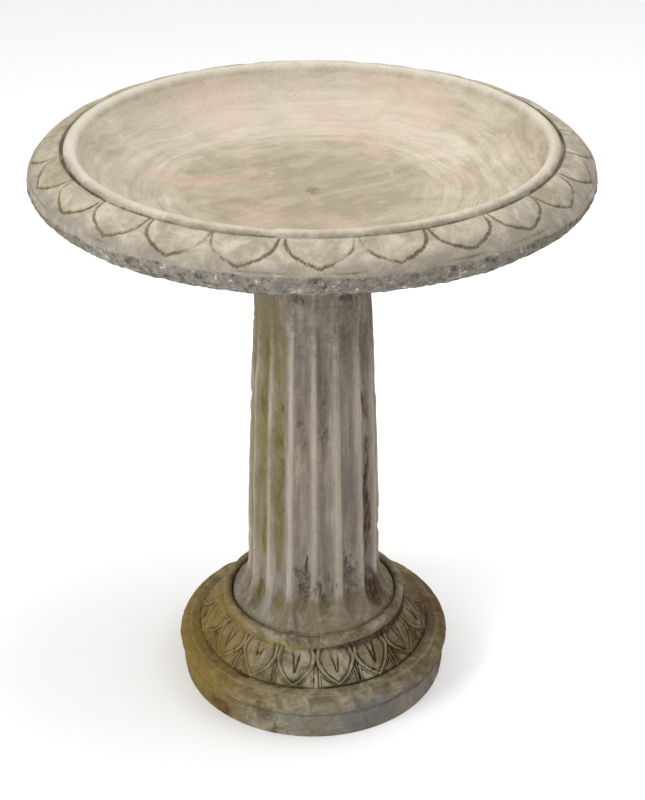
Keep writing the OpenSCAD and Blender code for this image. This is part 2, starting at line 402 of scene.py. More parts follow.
bowlForm = {
    # the section, in metres
    "rimWidth": 0.041, "rimHeight": 0.045, "rimTuck": 0.012, "lipWidth": 0.0125, "grooveSize": 0.0035,
    "dishDepth": 0.059, "floorRadius": 0.165, "floorRise": 0.007, "wallHollow": 0.013,
    "bossRadius": 0.086, "bossHeight": 0.006, "belly": 0.007, "faceSwell": 0.0035, "bevel": 0.0015,
    "holeRadius": 0.0105, "holeDepth": 0.0205, "worn": 0.0009, "wallWorn": 0.0032, "wallWornReach": 0.008,
    # the petals: how many, where they start, how far they reach and how their outline falls
    "petals": 25, "petalTurn": -88.5, "petalShare": 0.86, "petalWidth": 0.945, "petalSlip": 0.03,
    "petalLuck": 0.04, "petalFall": (0.38, 0.22, 0.42), "hookSlope": 5.9,
    "cutHalf": 0.0017, "cutDepth": 0.0020, "petalRise": 0.0006,
    "handShake": [(0.0004, 167, 0), (0.00035, 389, 1), (0.0003, 611, 0)],
    # how far apart the rings of each stretch are, and the points on a ring
    "rings": {"holeTop": (0.006, 75), "hole": (0.005, 75), "boss": (0.0035, 150), "under": (0.0055, 300),
              "edge": (0.0016, 1200), "groove": (0.0009, 600), "lip": (0.0016, 600),
              "wall": (0.0033, 300), "floor": (0.005, 300)},
    "faceColumns": 1200, "ringsBelow": 10, "ringsAbove": 6, "closeRings": 4, "closeStep": 0.0007,
    "cutRings": (-2.2, -1.4, -0.9, -0.5, 0, 0.5, 0.9, 1.4, 2.2),
    # the surface: layers of lumps, and how deep the damage goes
    "hand": [(0.0007, 0.07, 14), (0.0002, 0.012, 15)], "crumbs": [(0.0005, 0.0065, 11), (0.0005, 0.0032, 12)],
    "cutWear": [(0.4, 0.03, 5), (0.35, 0.007, 6)], "crumbPit": 0.0010, "seamDepth": 0.0008,
    "brinkWave": 0.0005, "nickDepth": 0.0013,
}


def bowlOutline():
    f = bowlForm
    low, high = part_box("bowl")
    base, top, radius = low.z, high.z, (high.x - low.x) / 2
    lip = radius - f["rimWidth"]
    half = f["lipWidth"] / 2
    lipOut = lip + half
    bed = top - f["dishDepth"]
    rimBase = top - f["rimHeight"]
    rimLow = (radius - f["rimTuck"], rimBase)
    faceTop = (lipOut + f["grooveSize"], top - f["grooveSize"])
    faceLow = (radius - f["bevel"], rimBase + f["rimHeight"] / 2)
    grooveBed = faceTop[1] - f["grooveSize"]
    hole, holeRadius = base + f["holeDepth"], f["holeRadius"]
    boss, bossTop = f["bossRadius"], base + f["bossHeight"]
    wallTop = (lip - half - f["bevel"] / 2, top - half - f["bevel"])
    floorEdge = (f["floorRadius"], bed + f["floorRise"])
    turn = [math.pi * i / 16 for i in range(17)]
    return Outline([
        ("holeTop", [(0, hole), (holeRadius, hole)]),
        ("hole", [(holeRadius, hole), (holeRadius, base)]),
        ("boss", [(holeRadius, base), (boss, base), (boss, bossTop)]),
        ("under", arc((boss + f["bossHeight"] / 2, bossTop), rimLow, -f["belly"])),
        ("edge", arc(rimLow, (radius, rimBase + f["rimHeight"] / 3), -f["rimTuck"] / 4)),
        ("face", arc(faceLow, faceTop, -f["faceSwell"])),
        ("groove", [faceTop, (faceTop[0], grooveBed), (lipOut, grooveBed)]),
        ("lip", [(lip + half * math.cos(a), top - half + half * math.sin(a)) for a in turn]),
        ("wall", arc(wallTop, floorEdge, f["wallHollow"])),
        ("floor", arc(floorEdge, (0, bed), f["floorRise"] / 4)),
    ], f["worn"], ("wall", f["wallWornReach"], f["wallWorn"]))


def petalLine(angle, outline):
    # where the outline of the petals runs, as a length along the section, and the cosine of its slant
    f = bowlForm
    low, high = outline.span("face")
    size = f["petalShare"] * (high - low)
    turn = (np.degrees(angle) - f["petalTurn"]) / 360 * f["petals"]
    number = np.round(turn)
    luck = np.sin(number * 7.13) * 0.6 + np.sin(number * 3.7 + 1) * 0.4     # each petal is cut by hand
    share = unit(2 * np.abs(turn - number + f["petalSlip"] * luck)) / f["petalWidth"]
    straight, bent, hooked = f["petalFall"]
    reach = 1 - straight * share - bent * share ** 3 - hooked * share ** 14
    reach = reach * (1 + f["petalLuck"] * np.sin(number * 5.3))
    shake = sum(rise * np.sin(angle * pace + start) for rise, pace, start in f["handShake"])
    line = high - reach * f["petalShare"] * (high - low) + shake
    share = np.minimum(share, 1)
    slant = (straight + 3 * bent * share ** 2 + f["hookSlope"] * share ** 13) * size
    width = math.pi * outline.at(high, outline.radius) / f["petals"]
    return line, width / np.hypot(width, slant)


def faceRing(number, outline):
    # one ring on the rim's face, which follows the outline of the petals
    f = bowlForm
    low, high = outline.span("face")
    cuts = np.array(f["cutRings"]) * f["cutHalf"]
    below, above, close = f["ringsBelow"], f["ringsAbove"], f["closeRings"]
    lastBelow, lastCut = 0.0012, 0.0004     # how near the groove the rings below the cut and in it come

    def place(angle):
        line, lean = petalLine(angle, outline)
        line, lean = np.minimum(line, high + 0.003), np.maximum(lean, 0.5)
        tail = np.minimum(line + cuts[0] / lean, high - lastBelow)
        head = np.minimum(line + cuts[-1] / lean, high - lastCut)
        if number < close:
            return np.minimum(low + f["closeStep"] * number, low + (tail - low) * number / below)
        if number < below:
            first = np.minimum(low + f["closeStep"] * close, low + (tail - low) * close / below)
            return first + (tail - first) * (number - close) / (below - close)
        if number < below + len(cuts):
            spare = 0.0001 * (below + len(cuts) - number)
            return np.minimum(line + cuts[number - below] / lean, high - lastCut - spare)
        return head + (high - head) * (number - below - len(cuts) + 1) / (above + 1)
    return place


def bowlRows(outline):
    f = bowlForm
    rings = outline.rings(f["rings"])
    under, floor = rings["under"], rings["floor"]
    count = f["ringsBelow"] + len(f["cutRings"]) + f["ringsAbove"]
    rows = rings["holeTop"][1:] + rings["hole"] + rings["boss"]
    rows += under[:-6] + recount(under[-6:], 600) + rings["edge"]
    rows += [(faceRing(number, outline), f["faceColumns"]) for number in range(count)]
    rows += rings["groove"] + rings["lip"] + rings["wall"]
    return rows + floor[:20] + recount(floor[20:27], 150) + recount(floor[27:], 75)


def roughEdge(along, angle, flat, outline):
    # the crumbled lower edge of the rim, which reaches higher at the sides and highest in front
    low, high = outline.span("edge")
    share = 0.6 + 0.18 * ease(-np.sin(angle), -0.5, 0.1) + 0.12 * ease(-np.sin(angle), 0.5, 0.95)
    top = low + (high - low) * share + 0.0028 * lumps(flat, 0.017, 21)
    soft = 0.0022
    return ease(along, low - 0.008, low) * ease(along, top + soft, top - soft)


def seamBreaks(flat):
    # where the line above the crumbled edge shows: 1 where it is open, 0 where it has closed
    return ease(lumps(flat, 0.03, 18), -0.3, 0.3)


def bowlRelief(outline):
    f = bowlForm
    edgeHigh = outline.span("edge")[1]
    faceLow, faceHigh = outline.span("face")
    lipLow, lipHigh = outline.span("lip")
    bossEnd = outline.span("boss")[1]

    def relief(along, angle, radius, height, flat):
        line, lean = petalLine(angle, outline)
        off = (along - line) * lean / f["cutHalf"]
        deep = unit(1 - off ** 2 / 1.6) ** 1.5 * ((along > faceLow) & (along < faceHigh + 0.001))
        cut = deep * np.clip(0.72 + layered(flat, f["cutWear"]), 0.12, 1.1)
        puff = f["petalRise"] * ease(off, 1, 9) * (along < faceHigh)      # a petal stands a little proud
        free = ease(along, bossEnd, bossEnd + 0.004)        # nothing is rough where the column fits
        rough = roughEdge(along, angle, flat, outline)
        crumbs = layered(flat, f["crumbs"]) - f["crumbPit"] * ease(lumps(flat, 0.009, 13), 0.35, 0.8)
        seam = bell(along, edgeHigh + 0.0005, 0.0009) * f["seamDepth"] * seamBreaks(flat)
        hand = layered(flat, f["hand"])
        hand = hand + f["brinkWave"] * lumps(flat, 0.025, 17) * bell(along, lipHigh, 0.012)
        nick = ease(lumps(flat, 0.011, 16), 0.55, 0.85) * f["nickDepth"]
        nick = nick * bell(along, (lipLow + lipHigh) / 2, 0.006)
        rise = puff - cut * f["cutDepth"] + free * (rough * crumbs + hand) - seam - nick
        return rise, cut
    return relief


def bowlStainsAndShading(outline):
    edgeLow, edgeHigh = outline.span("edge")
    lipLow, lipHigh = outline.span("lip")
    grooveLow, grooveHigh = outline.span("groove")
    lipTop = (lipLow + lipHigh) / 2 + 0.0025
    spotSize, spotBack = 0.008, 0.003

    def stainsAndShading(along, angle, radius, height, carved):
        flat = around(angle, radius, height)
        side = np.abs(np.cos(angle))        # 1 at the left and right, 0 in front and behind
        front = ease(-np.sin(angle), -0.2, 0.7)
        right = ease(np.cos(angle), 0.2, 0.8)
        onRim = (along > edgeHigh) & (along < lipLow)
        inDish = along > lipHigh
        crust = roughEdge(along, angle, flat, outline)
        below = ease(along, edgeLow, edgeLow - 0.02)
        # the groove under the lip, darker at the left and right: grime and painted shade
        furrow = ease(along, grooveLow + 0.0008, grooveLow + 0.0025)
        furrow = furrow * ease(along, grooveHigh + 0.0032, grooveHigh + 0.0016)
        furrow = furrow * (0.7 + 0.4 * lumps(flat, 0.02, 22))
        drips = 0.7 * ease(lumps(flat, 0.007, 24), 0.5, 0.8) * bell(along, grooveHigh + 0.001, 0.003)
        # grime and painted shade in the petal cuts, the groove and the seam
        grime = unit(carved) ** 0.65 * 1.05 + furrow * (0.6 + 0.4 * side) + drips
        seam = bell(along, edgeHigh + 0.0004, 0.0012) * 0.6 * seamBreaks(flat)
        shade = ease(along, edgeLow + 0.012, edgeLow + 0.004) * (0.6 + 0.5 * lumps(flat, 0.007, 23))
        # grey soiling and painted shade: a band above the crumbled edge, grey under the rim, on the lip's
        # outer face and on the right of the rim
        fade = ease(along, edgeHigh + 0.024, edgeHigh) * ease(along, edgeHigh - 0.03, edgeHigh - 0.01)
        brow = ease(along, grooveHigh, grooveHigh + 0.002) * ease(along, lipLow + 0.0085, lipLow + 0.004)
        soil = fade * (0.78 + 0.1 * side) + below * 0.5
        soil = soil + brow * (0.25 + 0.3 * front + 0.2 * right) + right * 0.42 * onRim
        wallHighlight = ease(radius, 0.12, 0.18) * inDish      # the dish's wall, which a painted highlight makes paler on the left and at the back
        # the lip's own pale cream, with a painted highlight that makes it paler at the left
        pale = bell(along, lipTop, 0.0066) * (1 + 0.4 * ease(-np.cos(angle), 0.5, 1))
        pale = pale + 0.25 * wallHighlight * (1 - ease(np.cos(angle), 0, 1))
        pale = pale + 0.3 * wallHighlight * ease(np.sin(angle), 0.2, 0.8)
        spot = np.exp(-(flat[:, 0] ** 2 + (flat[:, 1] / 1.6 - spotBack) ** 2) / spotSize ** 2)
        return {
            "grime": np.clip(grime + seam, 0, 1.2),
            "crust": crust,
            "shadow": crust * (shade + 0.35 * side),
            "soil": unit(soil),
            "moss": unit(crust * (0.2 + 0.6 * side ** 3) + furrow * side * 0.6 + seam * side ** 4),
            "pale": pale,
            "spot": spot * inDish,
            "dish": ease(along, lipHigh - 0.003, lipHigh + 0.004),
            "olive": 0.4 * ease(-np.cos(angle), 0.4, 1) * onRim,
        }
    return stainsAndShading


def rimColour(paint):
    ground = stoneGround(paint, [tone(150, 139, 117), tone(180, 170, 148), tone(198, 188, 168)], 16)
    return wornTones(paint, ground, paint.noise(48, 5, 0.68, 0.6), 0.55,
                [(0.36, (140, 129, 108)), (0.5, (182, 172, 153)), (0.62, (214, 206, 190))])


def dishStreaks(paint, reach, wobble, inner):
    # wiped in arcs near the wall and slantwise in the middle
    way = paint.vector("NORMALIZE", {0: paint.stretched(1, 1, 0)})
    turned = paint.vector("SCALE", {0: way, "Scale": 1.8})
    sweep = paint.node("ShaderNodeCombineXYZ", {}, {2: reach * 125 + wobble * 4})
    rings = paint.noise(1.0, 6, 0.72, 0.35, paint.vector("ADD", {0: sweep, 1: turned}))
    slanted = paint.node("ShaderNodeVectorRotate", {"rotation_type": "Z_AXIS"},
                         {"Vector": paint.place, "Angle": math.radians(-30)})
    strokes = paint.noise(1.2, 8, 0.74, 0.6, paint.vector("MULTIPLY", {0: slanted, 1: (8, 36, 8)}))
    wiped = rings * (1 - inner) + strokes * inner
    return wiped * 0.6 + paint.noise(13, 6, 0.65, 0.8) * 0.4


def dishColour(paint):
    # warm and wiped, with rosy and grey films, flecks and the edge of a dried puddle
    reach = paint.vector("LENGTH", {0: paint.stretched(1, 1, 0)}, "Value")
    wobble = paint.noise(5, 3, 0.6, 0.6)
    inner = paint.step(reach + wobble * 0.12, 0.21, 0.13)
    # painted shade: the middle of the dish darker and flatter
    shade = paint.step(reach + wobble * 0.1, 0.2, 0.11) * 0.1
    dish = paint.ramp(dishStreaks(paint, reach, wobble, inner) - shade,
                      [(0.36, tone(164, 151, 127)), (0.5, tone(204, 193, 170)), (0.62, tone(226, 217, 198))])
    dish = paint.mix(inner * 0.4, dish, tone(184, 171, 147))
    dish = film(paint, dish, tone(219, 184, 165), paint.noise(8.5, 6, 0.68, 0.6), 0.5, 0.64, 0.5)
    dish = film(paint, dish, tone(180, 174, 150), paint.noise(6.3, 5, 0.65, 1.2), 0.48, 0.7, 0.55)
    dish = film(paint, dish, tone(234, 227, 212), paint.noise(30, 6, 0.7, 0.3), 0.58, 0.72, 0.35)
    dish = film(paint, dish, tone(150, 136, 112), paint.noise(44, 6, 0.72, 0.3), 0.58, 0.74, 0.4)
    pool = paint.noise(5.5, 3, 0.5)
    tide = paint.step(pool, 0.5, 0.512) * (1 - paint.step(pool, 0.512, 0.54)) * 0.13
    return paint.mix(tide, dish, tone(152, 142, 120))


def bowlPaint():
    paint = Paint("bowlStone")
    colour = paint.mix(paint.mark("dish"), rimColour(paint), dishColour(paint))
    # painted highlight over the lip's pale colour: the lip paler at its left, the dish's wall paler at the
    # left and back
    colour = paint.mix(paint.mark("pale") * 0.7, colour, tone(226, 217, 201))
    colour = paint.mix(paint.mark("olive") * 0.6, colour, tone(160, 149, 113))
    colour = growth(paint, tone(132, 118, 92), "spot", colour, 210, 0.8, 2.2)
    # soiling and painted shade, in grey
    colour = growth(paint, tone(141, 132, 122), "soil", colour, 26, 0.8)
    crumbs = paint.ramp(paint.noise(130, 5, 0.78, 0.3),
                        [(0.38, tone(42, 38, 32)), (0.46, tone(108, 103, 96)),
                         (0.6, tone(142, 137, 130)), (0.67, tone(238, 235, 230))])
    colour = growth(paint, crumbs, "crust", colour, 60, 0.9)
    colour = growth(paint, tone(66, 61, 52), "shadow", colour, 110, 0.7, 1.5)
    colour = growth(paint, tone(98, 92, 40), "moss", colour, 60, 0.6)
    # grime and painted shade in the cuts, the groove and the seam
    colour = growth(paint, tone(96, 85, 54), "grime", colour, 120, 0.85)
    colour = film(paint, colour, tone(222, 216, 202), paint.noise(26, 3, 0.5, 0.8), 0.68, 0.74, 0.2)
    return stoneFinish(paint, colour, 0.35, 0.35)


def makeBowl():
    outline = bowlOutline()
    piece = castPiece("bowlCasting", "bowl", outline, bowlRows(outline),
                      bowlRelief(outline), bowlStainsAndShading(outline))
    piece.data.materials.append(bowlPaint())
    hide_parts("bowl")
    print("bowl made")


makeBowl()


# the column

columnForm = {
    # the section, in metres
    "footEdge": 0.012, "footFlare": 0.034, "lowRadius": 0.071, "neckRadius": 0.0565, "swell": 0.0018,
    "headFlare": 0.034, "headEdge": 0.008, "headInset": 0.0185, "bevel": 0.0015, "holeRadius": 0.0105,
    "lowHole": 0.0505, "topHole": 0.0505, "worn": 0.0011,
    # the flutes
    "flutes": 16, "ridgeTurn": -87.5, "fluteDepth": 0.0058, "fluteStart": 0.036,
    "fluteShare": 0.42, "endLength": 0.022, "endNarrowing": 0.09,
    # how far apart the rings of each stretch are, and the points on a ring
    "rings": {"lowHoleEnd": (0.006, 64), "lowHole": (0.01, 64), "sole": (0.004, 128), "flare": (0.0014, 512),
              "shaft": (0.0028, 512), "head": (0.002, 512), "crown": (0.004, 256),
              "topHole": (0.01, 64), "topHoleEnd": (0.006, 64)},
    # the surface: layers of lumps, and how deep the damage goes
    "hand": [(0.0008, 0.05, 32), (0.00045, 0.012, 33), (0.00022, 0.005, 34)],
    "chipDepth": 0.0017, "pitDepth": 0.001, "crackDepth": 0.0025,
    "crackTurn": -95.8, "crackWidth": 1.5, "crackHeight": 0.167, "crackReach": 0.011,
    # where the stains are, as rows for patches()
    "crowded": [(0.11, -65, 0.3, 32, 1)],
    "left": [(1, 202, 0.35, 38, 0.6), (0.8, 222, 0.3, 20, 0.3)],
    "right": [(1, -33, 0.2, 11, 0.11), (0.8, -28, 0.36, 7, 0.06), (0.35, -32, 0.44, 16, 0.04)],
    "foot": [(1, -72, 0.140, 34, 0.032), (1, -48, 0.135, 14, 0.035), (0.5, -120, 0.118, 9, 0.009),
             (0.6, -97, 0.15, 9, 0.03)],
    "middle": [(0.8, -112, 0.32, 8, 0.025), (0.4, -80, 0.34, 6, 0.06)],
    "mossyFoot": [(0.35, -115, 0.11, 30, 0.012)],
    "rustyFoot": [(0.9, -22, 0.112, 16, 0.022)],
}


def columnOutline():
    f = columnForm
    low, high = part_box("shaft")
    base, top, foot = low.z, high.z, (high.x - low.x) / 2
    flareFoot = (foot - f["bevel"], base + f["footEdge"])
    flareTop = base + f["footEdge"] + f["footFlare"]
    neck = top - f["headEdge"] - f["headFlare"]
    head = foot - f["headInset"]
    crown = top - f["headEdge"]
    hole, lowEnd, topEnd = f["holeRadius"], base + f["lowHole"], top - f["topHole"]
    return Outline([
        ("lowHoleEnd", [(0, lowEnd), (hole, lowEnd)]),
        ("lowHole", [(hole, lowEnd), (hole, base)]),
        ("sole", [(hole, base), (foot, base), (foot, base + f["footEdge"] - f["bevel"])]),
        ("flare", arc(flareFoot, (f["lowRadius"], flareTop), f["footFlare"] / 8)),
        ("shaft", arc((f["lowRadius"], flareTop), (f["neckRadius"], neck), -f["swell"])),
        ("head", arc((f["neckRadius"], neck), (head, crown), f["headFlare"] / 8)),
        ("crown", [(head, crown), (head, top), (hole, top)]),
        ("topHole", [(hole, top), (hole, topEnd)]),
        ("topHoleEnd", [(hole, topEnd), (0, topEnd)]),
    ], f["worn"])


def columnRelief(outline):
    f = columnForm
    low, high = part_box("shaft")
    flareLow = outline.span("flare")[0]
    crownLow = outline.span("crown")[0]

    def relief(along, angle, radius, height, flat):
        turn = (np.degrees(angle) - f["ridgeTurn"]) / 360 * f["flutes"] - 0.5
        drift = 0.03 * lumps(np.stack([np.cos(angle), np.sin(angle), height * 3], 1), 0.4, 31)
        drift = drift + patches(angle, height, f["crowded"])
        number = np.round(turn)
        across = np.abs(turn - number + drift)
        start = low.z + f["fluteStart"] + 0.003 * np.sin(number * 4.1)
        share = f["fluteShare"] - f["endNarrowing"] * ease(height, start + 0.04, start - 0.02)
        past = np.maximum(start - height, 0) / f["endLength"]
        reach = np.sqrt((across / share) ** 2 + past ** 2)
        hollow = unit(1 - reach ** 2) ** 0.8
        hollow = hollow * ease(height, high.z - 0.04 + 0.01 * np.sin(number * 2.7), high.z - 0.095)
        onSide = (along > flareLow) & (along < crownLow)
        taper = outline.at(along, outline.radius) / f["lowRadius"]
        flute = hollow * f["fluteDepth"] * np.clip(taper, 0.6, 1) * onSide
        free = ease(along, flareLow - 0.004, flareLow + 0.004)      # nothing is rough where it stands
        free = free * ease(along, crownLow + 0.004, crownLow - 0.004)
        chip = ease(lumps(flat, 0.014, 35), 0.45, 0.85) * f["chipDepth"] * ease(across, 0.32, 0.48)
        pit = ease(lumps(flat, 0.007, 36), 0.72, 0.9) * f["pitDepth"]
        crack = columnCrack(angle, height)
        rise = -flute + free * (layered(flat, f["hand"]) - chip - pit) - crack * f["crackDepth"]
        return rise, hollow * onSide + crack
    return relief


def columnCrack(angle, height):
    # the open crack low in the front of the shaft, widest in its middle
    f = columnForm
    turn = np.degrees(angle) % 360 - 360
    middle = f["crackTurn"] + 0.5 * np.sin(height * 260)
    width = f["crackWidth"] * unit(1 - ((height - f["crackHeight"]) / f["crackReach"]) ** 2)
    return unit(1 - np.abs(turn - middle) / (width + 1e-6)) * (width > 0.02)


def columnStainsAndShading(outline):
    f = columnForm
    flareLow = outline.span("flare")[0]

    def stainsAndShading(along, angle, radius, height, carved):
        hollow = unit(carved)
        drawn = around(angle, radius, height * 0.35)
        runs = ease(roughness(drawn, 0.012, 41), -0.1, 0.55)          # runs of dirt, drawn out downwards
        left = patches(angle, height, f["left"])
        right = patches(angle, height, f["right"])
        foot = patches(angle, height, f["foot"])
        middle = patches(angle, height, f["middle"])
        # painted shade and soot just under the bowl
        head = ease(height, 0.452, 0.464) * (0.2 + 0.8 * ease(roughness(drawn, 0.012, 44), 0, 0.4))
        behind = ease(np.sin(angle), 0.2, 0.9)
        disc = ease(height, 0.128, 0.108)
        moss = hollow ** 2 * (0.4 + 0.6 * runs) * (0.85 * left + 0.4 * behind) + 0.06 * left
        moss = moss + disc * 0.25 * left + hollow * patches(angle, height, f["mossyFoot"])
        # soot in patches, with painted shade in the flutes
        soot = (0.45 + 0.55 * runs) * (hollow * (0.6 * foot + middle) + 0.4 * foot)
        soot = soot + head * 0.7 + 0.2 * hollow * runs
        rust = (0.2 + hollow * 0.8) * right * (0.6 + 0.7 * runs) * 1.2 + 0.2 * behind * hollow
        rust = rust + patches(angle, height, f["rustyFoot"])
        # grime and painted shade in the crack and in the joint with the base
        grime = unit(columnCrack(angle, height) * 1.5) + 0.5 * bell(along, flareLow, 0.002)
        return {
            "hollow": hollow,
            # painted highlight along the ridges between the flutes
            "ridge": unit(1 - carved * 1.5) * ease(height, 0.106, 0.14) * ease(height, 0.46, 0.42),
            "olive": unit(left * (0.5 + 0.5 * hollow)) * ease(height, 0.1, 0.2),
            "moss": unit(moss),
            "disc": ease(height, 0.136, 0.112) * (1 - 0.5 * unit(left)),
            # painted shade: darker towards the top under the bowl, and more at the left and right
            "dusk": ease(height, 0.3, 0.47) * (0.6 + 0.4 * np.abs(np.cos(angle))),
            "soot": np.clip(soot, 0, 0.8),
            "rust": unit(rust),
            "grime": grime,
        }
    return stainsAndShading


def columnPaint():
    paint = Paint("columnStone")
    colour = stoneGround(paint, [tone(126, 114, 101), tone(150, 138, 125), tone(168, 156, 140)], 17)
    runs = paint.noise(1.0, 6, 0.7, 0.3, paint.stretched(75, 75, 7))
    colour = wornTones(paint, colour, runs, 0.65,
                       [(0.35, (78, 70, 58)), (0.5, (141, 131, 118)), (0.64, (192, 181, 168))])
    cool = paint.noise(1.0, 4, 0.6, 0, paint.stretched(26, 26, 9))
    colour = film(paint, colour, tone(140, 138, 130), cool, 0.5, 0.66, 0.45)
    mauve = paint.step(paint.noise(14, 4, 0.6), 0.42, 0.66) * 0.5
    colour = paint.mix(mauve * paint.mark("hollow"), colour, tone(122, 115, 111))
    # painted highlight on the ridges
    colour = paint.mix(paint.mark("ridge") * 0.5, colour, tone(194, 183, 166))
    colour = growth(paint, tone(122, 108, 78), "disc", colour, 40, 0.75, 1.4)
    # painted shade towards the top and at the sides of the shaft
    colour = growth(paint, tone(92, 86, 68), "dusk", colour, 55, 0.66, 1.6)
    down = paint.stretched(1, 1, 0.28)      # what runs down the shaft is drawn out
    colour = growth(paint, tone(118, 107, 62), "olive", colour, 45, 0.66, 1.3, down)
    green = paint.noise(80, 5, 0.7, 0, down)
    green = paint.ramp(green, [(0.38, tone(84, 72, 10)), (0.6, tone(124, 112, 52))])
    colour = growth(paint, green, "moss", colour, 70, 0.85, 1.5, down)
    # soot, with painted shade under the bowl and in the flutes
    colour = growth(paint, tone(58, 52, 42), "soot", colour, 150, 0.9, 2.2, paint.stretched(1, 1, 0.6))
    colour = growth(paint, tone(58, 30, 8), "rust", colour, 90, 0.92, 1.5, down)
    # grime and painted shade in the crack and the joint
    colour = growth(paint, tone(44, 36, 24), "grime", colour, 120, 0.9)
    return stoneFinish(paint, colour, 0.45, 0.4)


def columnRows(outline):
    rings = outline.rings(columnForm["rings"])
    sole, crown = rings["sole"], rings["crown"]
    rows = rings["lowHoleEnd"][1:] + rings["lowHole"] + sole[:-4] + recount(sole[-4:], 256)
    rows += rings["flare"] + rings["shaft"] + rings["head"]
    rows += crown[:6] + recount(crown[6:], 128)
    return rows + rings["topHole"] + rings["topHoleEnd"]


def makeColumn():
    outline = columnOutline()
    piece = castPiece("columnCasting", "shaft", outline, columnRows(outline),
                      columnRelief(outline), columnStainsAndShading(outline))
    piece.data.materials.append(columnPaint())
    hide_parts("shaft")
    print("column made")


makeColumn()


# the base

baseForm = {
    # the section, in metres
    "footRadius": 0.143, "plinth": 0.029, "lean": 0.0015, "torus": 0.020, "bulge": 0.0075, "step": 0.007,
    "inset": 0.016, "band": 0.032, "bead": 0.0125, "beadWidth": 0.009, "seatGap": 0.0008,
    "holeRadius": 0.0105, "holeDepth": 0.0505, "bevel": 0.0015, "worn": 0.0008,
    # the carved leaves; the curves are pairs in millimetres, a distance and the height there
    "leaves": 16, "leafTurn": -100.0, "leafTip": 0.93, "leafWidth": 0.97,
    "leafCurve": [(-2.6, -2.3), (-1.1, -2.2), (-0.1, 0.5), (0.9, 1.1), (1.9, 0.1), (2.9, -1.7), (3.9, -0.9),
                  (5.6, 0.2), (12, 0.6)],
    "dartCurve": [(0, 0), (1, 1), (1.7, 0.9), (2.5, 0.1), (3.6, 0.9)],
    "ground": -2.3, "slotDepth": 2.4, "spine": 2.6, "dart": 2.3,
    "leafWear": [(0.7, 0.010, 61), (0.4, 0.004, 62)],
    # how far apart the rings of each stretch are, and the points on a ring
    "rings": {"sole": (0.012, 128), "plinth": (0.0017, 512), "torus": (0.0012, 512), "ledge": (0.0012, 512),
              "band": (0.00085, 1024), "bead": (0.001, 512), "seat": (0.003, 256), "hole": (0.01, 64),
              "holeEnd": (0.006, 64)},
    # the surface: layers of lumps, and how deep the damage goes
    "hand": [(0.0009, 0.06, 51), (0.0004, 0.013, 52), (0.0002, 0.005, 53)],
    "chipDepth": 0.0018, "footChip": 0.0022, "lineDepth": 0.0008,
    # where the stains and painted shade are, as rows for patches()
    "left": [(1, 195, 0.05, 58, 0.09)],
    "damp": [(1, 226, 0.010, 9, 0.014), (0.6, 238, 0.03, 6, 0.008), (0.5, -10, 0.022, 14, 0.02),
             (0.4, 252, 0.04, 5, 0.008)],
    "ochreLeft": [(1, 202, 0.012, 24, 0.022)],
    "ochreRight": [(0.5, -8, 0.03, 16, 0.022)],
    "grey": [(1, -60, 0.02, 55, 0.03)],
    "brown": [(1.3, -5, 0.05, 46, 0.04), (0.6, -35, 0.075, 30, 0.02)],
    "sootyLeaves": [(0.6, -40, 0.065, 50, 0.04)],
    "sootyCollar": [(2, -44, 0.08, 34, 0.03)],
    "sootyCreases": [(0.45, -110, 0.04, 50, 0.05)],
    "rustyLeaves": [(0.8, -35, 0.068, 14, 0.02)],
    "rustyRight": [(0.5, 15, 0.05, 40, 0.04)],
}


def baseOutline():
    f = baseForm
    low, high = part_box("shaft")
    foot, seat = f["footRadius"], low.z
    seatRadius = (high.x - low.x) / 2 + f["seatGap"]
    beadRadius = seatRadius + f["beadWidth"]
    bandLow = f["plinth"] + f["torus"]
    beadLow = bandLow + f["band"]
    half = f["beadWidth"] / 2
    holeRadius, hole = f["holeRadius"], seat - f["holeDepth"]
    plinthRadius = foot + f["lean"]
    plinthTop = (plinthRadius - f["bevel"], f["plinth"])
    ledgeOut, ledgeIn = (foot - f["step"], bandLow), (foot - f["inset"], bandLow)
    crown = beadLow + f["bead"] - half
    turn = [math.pi * i / 12 for i in range(13)]
    bead = [(beadRadius - half + half * math.cos(a), crown + half * math.sin(a)) for a in turn]
    return Outline([
        ("sole", [(0, 0), (foot, 0)]),
        ("plinth", [(foot, 0), (plinthRadius, f["plinth"] - f["bevel"]), plinthTop]),
        ("torus", arc(plinthTop, ledgeOut, -f["bulge"])),
        ("ledge", [ledgeOut, ledgeIn]),
        ("band", [ledgeIn, (beadRadius, beadLow)]),
        ("bead", [(beadRadius, beadLow)] + bead),
        ("seat", [(seatRadius, crown), (seatRadius, seat), (holeRadius, seat)]),
        ("hole", [(holeRadius, seat), (holeRadius, hole)]),
        ("holeEnd", [(holeRadius, hole), (0, hole)]),
    ], f["worn"])


